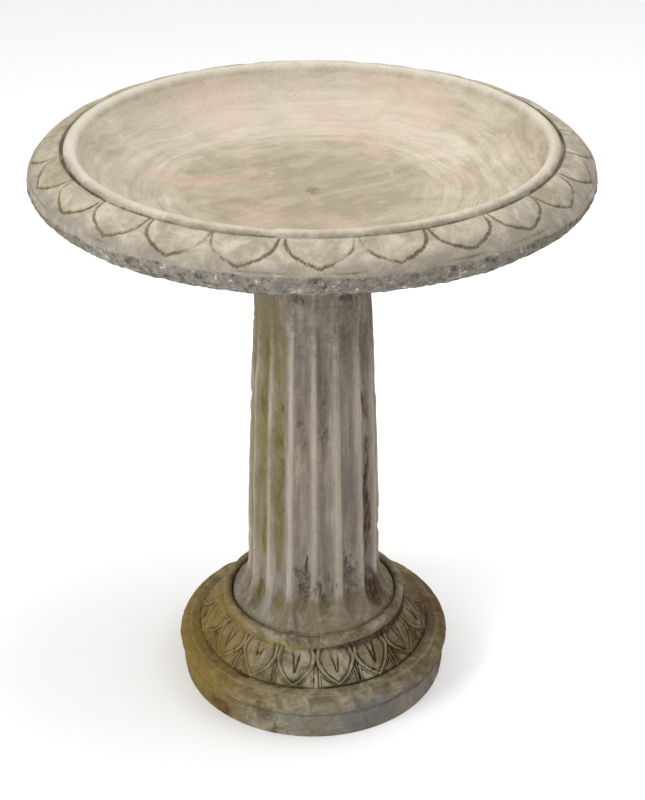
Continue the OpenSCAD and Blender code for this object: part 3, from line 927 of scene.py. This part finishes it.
def leafHeight(along, angle, radius, flat, outline):
    # the carved leaves: the height of the face in metres, how deep it is cut, and how high it stands, for the
    # painted highlight
    f = baseForm
    low, high = outline.span("band")
    down = (high - along) / (high - low)            # 0 under the bead, 1 at the ledge
    turn = (np.degrees(angle) - f["leafTurn"]) / 360 * f["leaves"]
    number = np.round(turn)
    pitch = math.pi * radius / f["leaves"] * 1000       # half the width that one leaf has, in millimetres
    slip = 0.03 * np.sin(number * 5.7) + 0.05 * np.sin(number * 2.9) * ease(down, 0.2, 0.9)
    across = np.abs(turn - number + slip / 2) * 2
    share = np.clip((down - 0.25) / (f["leafTip"] - 0.25), 0, 1.2)
    width = f["leafWidth"] * (1 - share ** 1.7) - 0.07 * ease(down, 0.3, 0)
    inside = (width - across) * pitch * 0.8 + layered(flat, f["leafWear"])
    face = profile(inside, f["leafCurve"])
    tongue = 4.6 * (1 - down / 0.62) + 0.2
    off = np.abs(across * pitch - tongue + 0.5 * lumps(flat, 0.008, 63)) / 1.5
    slot = unit(1 - off ** 2) * ease(down, 0.03, 0.25) * ease(down, 0.66, 0.58)
    face = face - slot * (f["slotDepth"] + 0.7 * np.sin(number * 3.3))
    between = (1 - across) * pitch
    spine = unit(1 - (between / 1.5) ** 2) * ease(down, 0.42, 0.5) * ease(down, 0.97, 0.93)
    dart = profile(np.minimum(-inside - 1.2, between - 2.2), f["dartCurve"]) * ease(down, 0.95, 0.9)
    fill = np.maximum(spine * f["spine"], dart * (f["dart"] + 0.5 * np.sin(number * 8.1)))
    face = np.where(inside < -0.6, np.maximum(face, f["ground"] + fill), face)
    rim = ease(down, 0.965, 0.99)
    face = face * (1 - rim) + 0.3 * rim
    face = face * ease(down, -0.01, 0.06) - 0.6 * ease(down, 0.07, 0.0)
    face = face * (0.8 + 0.4 * lumps(flat, 0.02, 64)) - 1.1 * ease(lumps(flat, 0.007, 65), 0.35, 0.9)
    onBand = (along >= low - 0.0005) & (along <= high)
    return face / 1000 * onBand, unit(-face / 2.0) * onBand, unit(face - 0.3) * onBand


def baseRelief(outline):
    f = baseForm
    ledge = outline.span("ledge")[0]
    seatLow = outline.span("seat")[0]
    torusLow = outline.span("torus")[0]
    soleEnd = outline.span("plinth")[0]

    def relief(along, angle, radius, height, flat):
        leaf, carved, crest = leafHeight(along, angle, radius, flat, outline)
        free = ease(along, soleEnd, soleEnd + 0.006) * ease(along, seatLow, seatLow - 0.003)
        chip = ease(lumps(flat, 0.016, 54), 0.5, 0.9) * f["chipDepth"] * ease(along, ledge, ledge - 0.004)
        chip = chip + f["footChip"] * ease(roughness(flat, 0.008, 56), 0.1, 0.8) * ease(height, 0.018, 0.004)
        line = f["lineDepth"] * bell(along, torusLow, 0.0012)
        return leaf + free * (layered(flat, f["hand"]) - chip - line), carved - crest
    return relief


def baseStainsAndShading(outline):
    f = baseForm
    ledge = outline.span("ledge")[0]
    bandLow, bandHigh = outline.span("band")
    torusLow = outline.span("torus")[0]
    seatLow = outline.span("seat")[0]

    def stainsAndShading(along, angle, radius, height, carved):
        def area(name):
            return patches(angle, height, f[name])

        left = area("left")
        behind = ease(np.sin(angle), 0.1, 0.9)
        creases = bell(along, torusLow, 0.0022) + bell(along, bandLow - 0.0005, 0.0016)
        collar = bell(along, bandHigh, 0.0024)
        # painted highlight on the leaves' raised parts and along the ledge's edge
        crest = unit(-carved) + 0.5 * bell(along, ledge, 0.0015)
        carved = unit(carved)
        upperTorus = (along > ledge - 0.02) * (along < bandLow)
        moss = 0.75 * left + carved * 0.45 + collar * (0.4 + 0.6 * left) + 0.3 * behind + 0.2 * upperTorus
        # soot and painted shade in the leaves' recesses, under the bead and in the creases
        soot = carved * (0.55 + area("sootyLeaves"))
        soot = soot + bell(along, bandHigh - 0.001, 0.0034) * area("sootyCollar")
        soot = soot + creases * area("sootyCreases")
        rust = area("damp") * 1.1 + 0.3 * left * carved + area("rustyLeaves") * carved + area("rustyRight")
        return {
            "hollow": carved,
            # painted shade: how deep the leaves are cut, for darkened recesses
            "crest": crest,
            "brown": area("brown"),
            "ochre": unit(area("ochreLeft") + 0.65 * left + area("ochreRight")),
            "moss": unit(moss),
            "soot": np.clip(soot, 0, 1.2),
            "rust": np.clip(rust, 0, 1.1),
            "grey": area("grey"),
            # grime and painted shade in the creases and in the gap round the shaft
            "grime": unit(creases * 0.5 + 0.9 * bell(along, seatLow + 0.002, 0.003)),
        }
    return stainsAndShading


def basePaint():
    paint = Paint("baseStone")
    colour = stoneGround(paint, [tone(98, 89, 64), tone(128, 119, 92), tone(154, 144, 119)], 22)
    colour = wornTones(paint, colour, paint.noise(60, 5, 0.68, 0.6), 0.6,
                       [(0.38, (78, 68, 44)), (0.5, (134, 124, 101)), (0.62, (184, 175, 155))])
    colour = growth(paint, tone(114, 114, 114), "grey", colour, 30, 0.85, 1.3)
    colour = film(paint, colour, tone(156, 136, 112), paint.noise(24, 3, 0.6), 0.52, 0.7, 0.4)
    colour = growth(paint, tone(92, 72, 40), "brown", colour, 40, 0.8, 1.3)
    green = paint.ramp(paint.noise(70, 5, 0.7), [(0.38, tone(100, 82, 24)), (0.6, tone(150, 128, 64))])
    colour = growth(paint, green, "moss", colour, 60, 0.85, 1.4)
    colour = growth(paint, tone(126, 100, 30), "ochre", colour, 34, 0.85, 1.2)
    # painted shade: the leaves' recesses darkened to dark olive-brown
    colour = film(paint, colour, tone(64, 50, 20), paint.mark("hollow"), 0.15, 0.75, 0.6)
    # painted highlight on the leaves' raised parts and the ledge's edge
    colour = paint.mix(paint.mark("crest") * 0.55, colour, tone(180, 168, 136))
    # soot and painted shade in the recesses, under the bead and in the creases
    colour = growth(paint, tone(40, 32, 16), "soot", colour, 120, 0.95, 1.5)
    rusty = paint.ramp(paint.noise(50, 4, 0.6), [(0.44, tone(44, 26, 8)), (0.64, tone(112, 74, 22))])
    colour = growth(paint, rusty, "rust", colour, 36, 0.9)
    # grime and painted shade in the creases and the seat
    colour = growth(paint, tone(48, 42, 24), "grime", colour, 90, 0.8)
    return stoneFinish(paint, colour, 0.5, 0.45)


def baseRows(outline):
    rings = outline.rings(baseForm["rings"])
    sole, seat = rings["sole"], rings["seat"]
    rows = sole[1:-2] + recount(sole[-2:], 256) + rings["plinth"] + rings["torus"] + rings["ledge"]
    rows += rings["band"] + rings["bead"] + seat[:10] + recount(seat[10:], 128)
    return rows + rings["hole"] + rings["holeEnd"]


def makeBase():
    outline = baseOutline()
    piece = castPiece("baseCasting", "base", outline, baseRows(outline),
                      baseRelief(outline), baseStainsAndShading(outline))
    piece.data.materials.append(basePaint())
    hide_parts("base")
    print("base made")


makeBase()


# the steel inside

def steelPaint(name, bright, dark, rusty, rustShare):
    paint = Paint(name)
    colour = paint.ramp(paint.noise(60, 5, 0.6), [(0.35, dark), (0.65, bright)])
    rust = paint.step(paint.noise(45, 6, 0.7, 0.5), 0.62 - rustShare * 0.4, 0.8 - rustShare * 0.4)
    colour = paint.mix(rust, colour, rusty)
    normal = paint.bump(paint.noise(300, 4, 0.6), 0.3, 0.0006)
    return paint.finish({"Base Color": colour, "Roughness": rust * 0.45 + 0.38, "Metallic": 1 - rust * 0.9,
                         "Normal": normal})


def dressSteel():
    zinc = steelPaint("dowelSteel", tone(150, 148, 144), tone(104, 102, 99), tone(104, 70, 46), 0.25)
    bar = steelPaint("reinforcingSteel", tone(92, 80, 72), tone(60, 50, 44), tone(112, 66, 38), 0.75)
    for node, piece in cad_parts.items():
        if "dowel" in node:
            piece.data.materials.clear()
            piece.data.materials.append(zinc)
        elif any(word in node for word in ("hoop", "spokes", "bars", "ties")):
            piece.data.materials.clear()
            piece.data.materials.append(bar)


dressSteel()
print("steel dressed")


# floor, light and camera

stageForm = {
    "floorSize": 14.0, "sky": 0.78,
    "keySize": 1.2, "keyPower": 44.0, "keyPlace": (-2.1, -1.5, 1.5), "keyAim": (0, 0, 0.4),
    "topSize": 2.0, "topPower": 42.0, "topPlace": (1.0, 0.1, 2.9), "topAim": (0, 0, 0.5),
    "cameraPlace": (0.0, -1.4068, 1.1163), "cameraDown": 29.385, "cameraTurn": 0.397, "cameraRoll": 0.05,
    "lens": 70.9, "sensor": 36,
}


def makeStage():
    s = stageForm
    half = s["floorSize"] / 2
    mesh = bpy.data.meshes.new("floor")
    corners = [(-half, -half, 0), (half, -half, 0), (half, half, 0), (-half, half, 0)]
    mesh.from_pydata(corners, [], [(0, 1, 2, 3)])
    floor = bpy.data.objects.new("floor", mesh)
    bpy.context.scene.collection.objects.link(floor)
    paint = Paint("floor")
    mesh.materials.append(paint.finish({"Base Color": grey(0.95), "Roughness": 0.9}))
    world = bpy.data.worlds.new("studio")
    world.use_nodes = True
    sky = world.node_tree.nodes["Background"]
    sky.inputs[0].default_value = grey(1)
    sky.inputs[1].default_value = s["sky"]
    bpy.context.scene.world = world
    bpy.context.scene.view_settings.view_transform = "Standard"


def makeLamp(name):
    s = stageForm
    lamp = bpy.data.lights.new(name, "AREA")
    lamp.size = s[name + "Size"]
    lamp.energy = s[name + "Power"]
    holder = bpy.data.objects.new(name, lamp)
    bpy.context.scene.collection.objects.link(holder)
    holder.location = s[name + "Place"]
    way = Vector(s[name + "Aim"]) - holder.location
    holder.rotation_euler = way.to_track_quat("-Z", "Y").to_euler()


def makeCamera():
    s = stageForm
    eye = bpy.data.cameras.new("camera")
    eye.lens = s["lens"]
    eye.sensor_width = s["sensor"]
    holder = bpy.data.objects.new("camera", eye)
    bpy.context.scene.collection.objects.link(holder)
    turn = Matrix.Rotation(math.radians(-s["cameraTurn"]), 4, "Z")
    tilt = Matrix.Rotation(math.radians(90 - s["cameraDown"]), 4, "X")
    roll = Matrix.Rotation(math.radians(s["cameraRoll"]), 4, "Z")
    holder.matrix_world = Matrix.Translation(s["cameraPlace"]) @ turn @ tilt @ roll
    bpy.context.scene.camera = holder


makeStage()
makeLamp("key")
makeLamp("top")
makeCamera()
print("stage ready")
